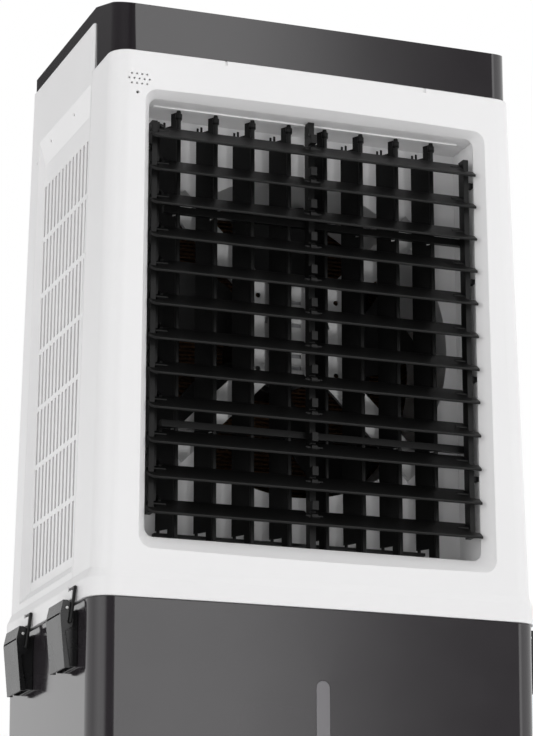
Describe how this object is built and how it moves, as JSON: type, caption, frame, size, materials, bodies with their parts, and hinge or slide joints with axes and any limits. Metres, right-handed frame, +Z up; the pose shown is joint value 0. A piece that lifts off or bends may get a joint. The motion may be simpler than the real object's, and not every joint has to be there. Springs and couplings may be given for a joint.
{
  "type": "evaporative cooler",
  "caption": "Upright wheeled evaporative air cooler: white louvred housing with a fan, wet pads and side grilles on a dark water tank held by draw latches.",
  "frame": {"origin": "on the floor, under the middle of the footprint", "axes": "+Z up, -Y out of the louvred front, X across the front"},
  "size_m": [0.495, 0.3059, 1.0095],
  "materials": {
    "housing_white": "smooth warm-white moulded plastic",
    "duct_white": "plain white moulded plastic",
    "cap_gloss": "glossy charcoal moulded plastic",
    "tank_gloss": "glossy charcoal tinted plastic",
    "window_clear": "clear grey plastic strip",
    "louvre_black": "satin black moulded plastic",
    "latch_black": "black moulded plastic",
    "wire_black": "black coated wire",
    "dark_plastic": "dark moulded plastic",
    "bracket_metal": "light grey pressed steel",
    "motor_metal": "painted steel can",
    "fan_plastic": "black moulded plastic",
    "pad_cellulose": "brown corrugated cellulose",
    "circuit_board": "green board",
    "screw_steel": "plated steel",
    "rubber_black": "black rubber",
    "wheel_tyre": "solid dark tread"
  },
  "bodies": {
    "housing": {"front_panel": "housing_white", "left_side_panel": "housing_white", "right_side_panel": "housing_white", "rear_frame": "dark_plastic", "top_cover": "cap_gloss", "air_duct": "duct_white", "motor_bracket": "bracket_metal", "fan_motor": "motor_metal", "louvre_support": "louvre_black", "pivot_strips": "louvre_black", "cooling_pads": "pad_cellulose", "distribution_tray": "duct_white", "water_pump": "dark_plastic", "water_tank": "tank_gloss", "level_window": "window_clear", "latch_bases": "latch_black", "swing_motor": "motor_metal", "control_board": "circuit_board", "screws": "screw_steel", "drain_plug": "rubber_black", "cable_gland": "rubber_black"},
    "slat_01": {"slat_01": "louvre_black"},
    "slat_02": {"slat_02": "louvre_black"},
    "slat_03": {"slat_03": "louvre_black"},
    "slat_04": {"slat_04": "louvre_black"},
    "slat_05": {"slat_05": "louvre_black"},
    "slat_06": {"slat_06": "louvre_black"},
    "slat_07": {"slat_07": "louvre_black"},
    "slat_08": {"slat_08": "louvre_black"},
    "slat_09": {"slat_09": "louvre_black"},
    "slat_10": {"slat_10": "louvre_black"},
    "slat_11": {"slat_11": "louvre_black"},
    "slat_12": {"slat_12": "louvre_black"},
    "slat_link": {"slat_link": "louvre_black"},
    "fin_1": {"fin_1": "louvre_black"},
    "fin_2": {"fin_2": "louvre_black"},
    "fin_3": {"fin_3": "louvre_black"},
    "fin_4": {"fin_4": "louvre_black"},
    "fin_5": {"fin_5": "louvre_black"},
    "fin_6": {"fin_6": "louvre_black"},
    "fin_7": {"fin_7": "louvre_black"},
    "fin_8": {"fin_8": "louvre_black"},
    "fin_link": {"fin_link": "louvre_black"},
    "fan_rotor": {"fan_rotor": "fan_plastic"},
    "latch_lever_left_front": {"latch_lever_left_front": "latch_black"},
    "latch_bail_left_front": {"latch_bail_left_front": "wire_black"},
    "latch_lever_left_rear": {"latch_lever_left_rear": "latch_black"},
    "latch_bail_left_rear": {"latch_bail_left_rear": "wire_black"},
    "latch_lever_right_front": {"latch_lever_right_front": "latch_black"},
    "latch_bail_right_front": {"latch_bail_right_front": "wire_black"},
    "latch_lever_right_rear": {"latch_lever_right_rear": "latch_black"},
    "latch_bail_right_rear": {"latch_bail_right_rear": "wire_black"},
    "caster_fork_1": {"caster_fork_1": "dark_plastic"},
    "caster_wheel_1": {"caster_wheel_1": "wheel_tyre"},
    "caster_fork_2": {"caster_fork_2": "dark_plastic"},
    "caster_wheel_2": {"caster_wheel_2": "wheel_tyre"},
    "caster_fork_3": {"caster_fork_3": "dark_plastic"},
    "caster_wheel_3": {"caster_wheel_3": "wheel_tyre"},
    "caster_fork_4": {"caster_fork_4": "dark_plastic"},
    "caster_wheel_4": {"caster_wheel_4": "wheel_tyre"}
  },
  "joints": [
    {"name": "slat_01_tilt", "type": "hinge", "parent": "housing", "child": "slat_01", "pos_m": [0, -0.1285, 0.8647], "axis": [1, 0, 0], "range_deg": [-60, 20]},
    {"name": "slat_02_tilt", "type": "hinge", "parent": "housing", "child": "slat_02", "pos_m": [0, -0.1285, 0.83037], "axis": [1, 0, 0], "range_deg": [-60, 20]},
    {"name": "slat_03_tilt", "type": "hinge", "parent": "housing", "child": "slat_03", "pos_m": [0, -0.1285, 0.79604], "axis": [1, 0, 0], "range_deg": [-60, 20]},
    {"name": "slat_04_tilt", "type": "hinge", "parent": "housing", "child": "slat_04", "pos_m": [0, -0.1285, 0.76171], "axis": [1, 0, 0], "range_deg": [-60, 20]},
    {"name": "slat_05_tilt", "type": "hinge", "parent": "housing", "child": "slat_05", "pos_m": [0, -0.1285, 0.72738], "axis": [1, 0, 0], "range_deg": [-60, 20]},
    {"name": "slat_06_tilt", "type": "hinge", "parent": "housing", "child": "slat_06", "pos_m": [0, -0.1285, 0.69305], "axis": [1, 0, 0], "range_deg": [-60, 20]},
    {"name": "slat_07_tilt", "type": "hinge", "parent": "housing", "child": "slat_07", "pos_m": [0, -0.1285, 0.65872], "axis": [1, 0, 0], "range_deg": [-60, 20]},
    {"name": "slat_08_tilt", "type": "hinge", "parent": "housing", "child": "slat_08", "pos_m": [0, -0.1285, 0.62439], "axis": [1, 0, 0], "range_deg": [-60, 20]},
    {"name": "slat_09_tilt", "type": "hinge", "parent": "housing", "child": "slat_09", "pos_m": [0, -0.1285, 0.59006], "axis": [1, 0, 0], "range_deg": [-60, 20]},
    {"name": "slat_10_tilt", "type": "hinge", "parent": "housing", "child": "slat_10", "pos_m": [0, -0.1285, 0.55573], "axis": [1, 0, 0], "range_deg": [-60, 20]},
    {"name": "slat_11_tilt", "type": "hinge", "parent": "housing", "child": "slat_11", "pos_m": [0, -0.1285, 0.5214], "axis": [1, 0, 0], "range_deg": [-60, 20]},
    {"name": "slat_12_tilt", "type": "hinge", "parent": "housing", "child": "slat_12", "pos_m": [0, -0.1285, 0.48707], "axis": [1, 0, 0], "range_deg": [-60, 20]},
    {"name": "slat_link_pin", "type": "hinge", "parent": "slat_01", "child": "slat_link", "pos_m": [-0.161, -0.11732, 0.87313], "axis": [1, 0, 0], "range_deg": [-20, 60]},
    {"name": "fin_1_swing", "type": "hinge", "parent": "housing", "child": "fin_1", "pos_m": [-0.1372, -0.1135, 0.6745], "axis": [0, 0, 1], "range_deg": [-69, 11]},
    {"name": "fin_2_swing", "type": "hinge", "parent": "housing", "child": "fin_2", "pos_m": [-0.098, -0.1135, 0.6745], "axis": [0, 0, 1], "range_deg": [-69, 11]},
    {"name": "fin_3_swing", "type": "hinge", "parent": "housing", "child": "fin_3", "pos_m": [-0.0588, -0.1135, 0.6745], "axis": [0, 0, 1], "range_deg": [-69, 11]},
    {"name": "fin_4_swing", "type": "hinge", "parent": "housing", "child": "fin_4", "pos_m": [-0.0196, -0.1135, 0.6745], "axis": [0, 0, 1], "range_deg": [-69, 11]},
    {"name": "fin_5_swing", "type": "hinge", "parent": "housing", "child": "fin_5", "pos_m": [0.0196, -0.1135, 0.6745], "axis": [0, 0, 1], "range_deg": [-69, 11]},
    {"name": "fin_6_swing", "type": "hinge", "parent": "housing", "child": "fin_6", "pos_m": [0.0588, -0.1135, 0.6745], "axis": [0, 0, 1], "range_deg": [-69, 11]},
    {"name": "fin_7_swing", "type": "hinge", "parent": "housing", "child": "fin_7", "pos_m": [0.098, -0.1135, 0.6745], "axis": [0, 0, 1], "range_deg": [-69, 11]},
    {"name": "fin_8_swing", "type": "hinge", "parent": "housing", "child": "fin_8", "pos_m": [0.1372, -0.1135, 0.6745], "axis": [0, 0, 1], "range_deg": [-69, 11]},
    {"name": "fin_link_pin", "type": "hinge", "parent": "fin_1", "child": "fin_link", "pos_m": [-0.14811, -0.09382, 0.4645], "axis": [0, 0, 1], "range_deg": [-11, 69]},
    {"name": "fan_spin", "type": "hinge", "parent": "housing", "child": "fan_rotor", "pos_m": [0, 0, 0.682], "axis": [0, 1, 0], "continuous": true},
    {"name": "latch_lever_left_front_turn", "type": "hinge", "parent": "housing", "child": "latch_lever_left_front", "pos_m": [-0.241, -0.0805, 0.3863], "axis": [0, 1, 0], "range_deg": [0, 95]},
    {"name": "latch_bail_left_front_turn", "type": "hinge", "parent": "latch_lever_left_front", "child": "latch_bail_left_front", "pos_m": [-0.2381, -0.0805, 0.373], "axis": [0, 1, 0], "range_deg": [-95, 0]},
    {"name": "latch_lever_left_rear_turn", "type": "hinge", "parent": "housing", "child": "latch_lever_left_rear", "pos_m": [-0.241, 0.0725, 0.3863], "axis": [0, 1, 0], "range_deg": [0, 95]},
    {"name": "latch_bail_left_rear_turn", "type": "hinge", "parent": "latch_lever_left_rear", "child": "latch_bail_left_rear", "pos_m": [-0.2381, 0.0725, 0.373], "axis": [0, 1, 0], "range_deg": [-95, 0]},
    {"name": "latch_lever_right_front_turn", "type": "hinge", "parent": "housing", "child": "latch_lever_right_front", "pos_m": [0.241, -0.0805, 0.3863], "axis": [0, -1, 0], "range_deg": [0, 95]},
    {"name": "latch_bail_right_front_turn", "type": "hinge", "parent": "latch_lever_right_front", "child": "latch_bail_right_front", "pos_m": [0.2381, -0.0805, 0.373], "axis": [0, -1, 0], "range_deg": [-95, 0]},
    {"name": "latch_lever_right_rear_turn", "type": "hinge", "parent": "housing", "child": "latch_lever_right_rear", "pos_m": [0.241, 0.0725, 0.3863], "axis": [0, -1, 0], "range_deg": [0, 95]},
    {"name": "latch_bail_right_rear_turn", "type": "hinge", "parent": "latch_lever_right_rear", "child": "latch_bail_right_rear", "pos_m": [0.2381, 0.0725, 0.373], "axis": [0, -1, 0], "range_deg": [-95, 0]},
    {"name": "caster_fork_1_swivel", "type": "hinge", "parent": "housing", "child": "caster_fork_1", "pos_m": [-0.185, -0.098, 0.06], "axis": [0, 0, 1], "continuous": true},
    {"name": "caster_wheel_1_roll", "type": "hinge", "parent": "caster_fork_1", "child": "caster_wheel_1", "pos_m": [-0.185, -0.081, 0.022], "axis": [1, 0, 0], "continuous": true},
    {"name": "caster_fork_2_swivel", "type": "hinge", "parent": "housing", "child": "caster_fork_2", "pos_m": [0.185, -0.098, 0.06], "axis": [0, 0, 1], "continuous": true},
    {"name": "caster_wheel_2_roll", "type": "hinge", "parent": "caster_fork_2", "child": "caster_wheel_2", "pos_m": [0.185, -0.081, 0.022], "axis": [1, 0, 0], "continuous": true},
    {"name": "caster_fork_3_swivel", "type": "hinge", "parent": "housing", "child": "caster_fork_3", "pos_m": [-0.185, 0.098, 0.06], "axis": [0, 0, 1], "continuous": true},
    {"name": "caster_wheel_3_roll", "type": "hinge", "parent": "caster_fork_3", "child": "caster_wheel_3", "pos_m": [-0.185, 0.115, 0.022], "axis": [1, 0, 0], "continuous": true},
    {"name": "caster_fork_4_swivel", "type": "hinge", "parent": "housing", "child": "caster_fork_4", "pos_m": [0.185, 0.098, 0.06], "axis": [0, 0, 1], "continuous": true},
    {"name": "caster_wheel_4_roll", "type": "hinge", "parent": "caster_fork_4", "child": "caster_wheel_4", "pos_m": [0.185, 0.115, 0.022], "axis": [1, 0, 0], "continuous": true}
  ],
  "couplings": [
    {"joint": "slat_02_tilt", "follows": "slat_01_tilt", "ratio": 1},
    {"joint": "slat_03_tilt", "follows": "slat_01_tilt", "ratio": 1},
    {"joint": "slat_04_tilt", "follows": "slat_01_tilt", "ratio": 1},
    {"joint": "slat_05_tilt", "follows": "slat_01_tilt", "ratio": 1},
    {"joint": "slat_06_tilt", "follows": "slat_01_tilt", "ratio": 1},
    {"joint": "slat_07_tilt", "follows": "slat_01_tilt", "ratio": 1},
    {"joint": "slat_08_tilt", "follows": "slat_01_tilt", "ratio": 1},
    {"joint": "slat_09_tilt", "follows": "slat_01_tilt", "ratio": 1},
    {"joint": "slat_10_tilt", "follows": "slat_01_tilt", "ratio": 1},
    {"joint": "slat_11_tilt", "follows": "slat_01_tilt", "ratio": 1},
    {"joint": "slat_12_tilt", "follows": "slat_01_tilt", "ratio": 1},
    {"joint": "slat_link_pin", "follows": "slat_01_tilt", "ratio": -1},
    {"joint": "fin_2_swing", "follows": "fin_1_swing", "ratio": 1},
    {"joint": "fin_3_swing", "follows": "fin_1_swing", "ratio": 1},
    {"joint": "fin_4_swing", "follows": "fin_1_swing", "ratio": 1},
    {"joint": "fin_5_swing", "follows": "fin_1_swing", "ratio": 1},
    {"joint": "fin_6_swing", "follows": "fin_1_swing", "ratio": 1},
    {"joint": "fin_7_swing", "follows": "fin_1_swing", "ratio": 1},
    {"joint": "fin_8_swing", "follows": "fin_1_swing", "ratio": 1},
    {"joint": "fin_link_pin", "follows": "fin_1_swing", "ratio": -1},
    {"joint": "latch_bail_left_front_turn", "follows": "latch_lever_left_front_turn", "ratio": -1},
    {"joint": "latch_bail_left_rear_turn", "follows": "latch_lever_left_rear_turn", "ratio": -1},
    {"joint": "latch_bail_right_front_turn", "follows": "latch_lever_right_front_turn", "ratio": -1},
    {"joint": "latch_bail_right_rear_turn", "follows": "latch_lever_right_rear_turn", "ratio": -1}
  ]
}
